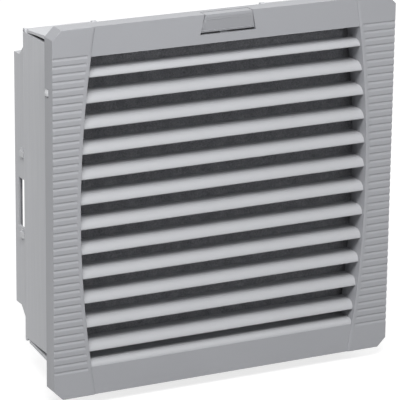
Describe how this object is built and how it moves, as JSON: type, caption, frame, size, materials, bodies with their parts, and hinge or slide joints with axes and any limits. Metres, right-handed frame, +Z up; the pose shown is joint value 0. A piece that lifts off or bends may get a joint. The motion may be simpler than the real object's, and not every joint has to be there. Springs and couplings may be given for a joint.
{
  "type": "enclosure exhaust filter",
  "caption": "Square snap-in exhaust filter for an enclosure wall: louvred hinged cover, fluted filter mat, housing with sprung flaps, gasket and rear hood.",
  "frame": {"origin": "centre of the square cut-out, in the outer face of the enclosure panel that the gasket seats on", "axes": "+X to the right seen from outside, +Y into the enclosure along the cut-out's axis, +Z up"},
  "size_m": [0.3228, 0.124, 0.32],
  "materials": {
    "cover_plastic": "fine satin",
    "louvre_plastic": "smooth satin",
    "housing_plastic": "moulded satin",
    "flap_plastic": "moulded satin",
    "hood_plastic": "moulded satin",
    "clip_plastic": "moulded satin",
    "catch_plastic": "moulded satin",
    "gasket_foam": "closed-cell foam",
    "filter_fibre": "loose fibre",
    "pin_steel": "drawn wire",
    "spring_steel": "rolled strip"
  },
  "bodies": {
    "housing": {"housing": "housing_plastic", "gasket": "gasket_foam", "side_catch_left": "catch_plastic", "side_catch_right": "catch_plastic", "filter_mat": "filter_fibre", "mat_support_grid": "housing_plastic", "flap_rod_top": "pin_steel", "flap_rod_bottom": "pin_steel", "leaf_spring_top_left": "spring_steel", "leaf_spring_top_right": "spring_steel", "leaf_spring_bottom_left": "spring_steel", "leaf_spring_bottom_right": "spring_steel", "rear_hood": "hood_plastic", "hood_clip_left_upper": "clip_plastic", "hood_clip_left_lower": "clip_plastic", "hood_clip_right_upper": "clip_plastic", "hood_clip_right_lower": "clip_plastic"},
    "cover": {"cover_frame": "cover_plastic", "left_ribbed_panel": "cover_plastic", "right_ribbed_panel": "cover_plastic", "louvre_01": "louvre_plastic", "louvre_02": "louvre_plastic", "louvre_03": "louvre_plastic", "louvre_04": "louvre_plastic", "louvre_05": "louvre_plastic", "louvre_06": "louvre_plastic", "louvre_07": "louvre_plastic", "louvre_08": "louvre_plastic", "louvre_09": "louvre_plastic", "louvre_10": "louvre_plastic", "louvre_11": "louvre_plastic", "louvre_12": "louvre_plastic", "latch_pin": "pin_steel", "latch_spring": "spring_steel", "hinge_pin_left": "pin_steel", "hinge_pin_right": "pin_steel"},
    "latch": {"release_latch": "cover_plastic"},
    "flap_top_left": {"snap_flap_top_left": "flap_plastic"},
    "flap_top_right": {"snap_flap_top_right": "flap_plastic"},
    "flap_bottom_left": {"snap_flap_bottom_left": "flap_plastic"},
    "flap_bottom_right": {"snap_flap_bottom_right": "flap_plastic"}
  },
  "joints": [
    {"name": "cover_hinge", "type": "hinge", "parent": "housing", "child": "cover", "pos_m": [0, -0.008, -0.156], "axis": [1, 0, 0], "range_deg": [0, 85]},
    {"name": "latch_pivot", "type": "hinge", "parent": "cover", "child": "latch", "pos_m": [0, -0.0134, 0.1534], "axis": [-1, 0, 0], "range_deg": [0, 10], "stiffness_Nm_per_rad": 0.03, "springref_deg": -17.19, "deforming": ["latch_spring"]},
    {"name": "flap_top_left_hinge", "type": "hinge", "parent": "housing", "child": "flap_top_left", "pos_m": [0, 0.075, 0.1368], "axis": [1, 0, 0], "range_deg": [0, 3.4], "stiffness_Nm_per_rad": 0.5, "springref_deg": -6.88, "deforming": ["leaf_spring_top_left"]},
    {"name": "flap_top_right_hinge", "type": "hinge", "parent": "housing", "child": "flap_top_right", "pos_m": [0, 0.075, 0.1368], "axis": [1, 0, 0], "range_deg": [0, 3.4], "stiffness_Nm_per_rad": 0.5, "springref_deg": -6.88, "deforming": ["leaf_spring_top_right"]},
    {"name": "flap_bottom_left_hinge", "type": "hinge", "parent": "housing", "child": "flap_bottom_left", "pos_m": [0, 0.075, -0.1368], "axis": [-1, 0, 0], "range_deg": [0, 3.4], "stiffness_Nm_per_rad": 0.5, "springref_deg": -6.88, "deforming": ["leaf_spring_bottom_left"]},
    {"name": "flap_bottom_right_hinge", "type": "hinge", "parent": "housing", "child": "flap_bottom_right", "pos_m": [0, 0.075, -0.1368], "axis": [-1, 0, 0], "range_deg": [0, 3.4], "stiffness_Nm_per_rad": 0.5, "springref_deg": -6.88, "deforming": ["leaf_spring_bottom_right"]}
  ]
}
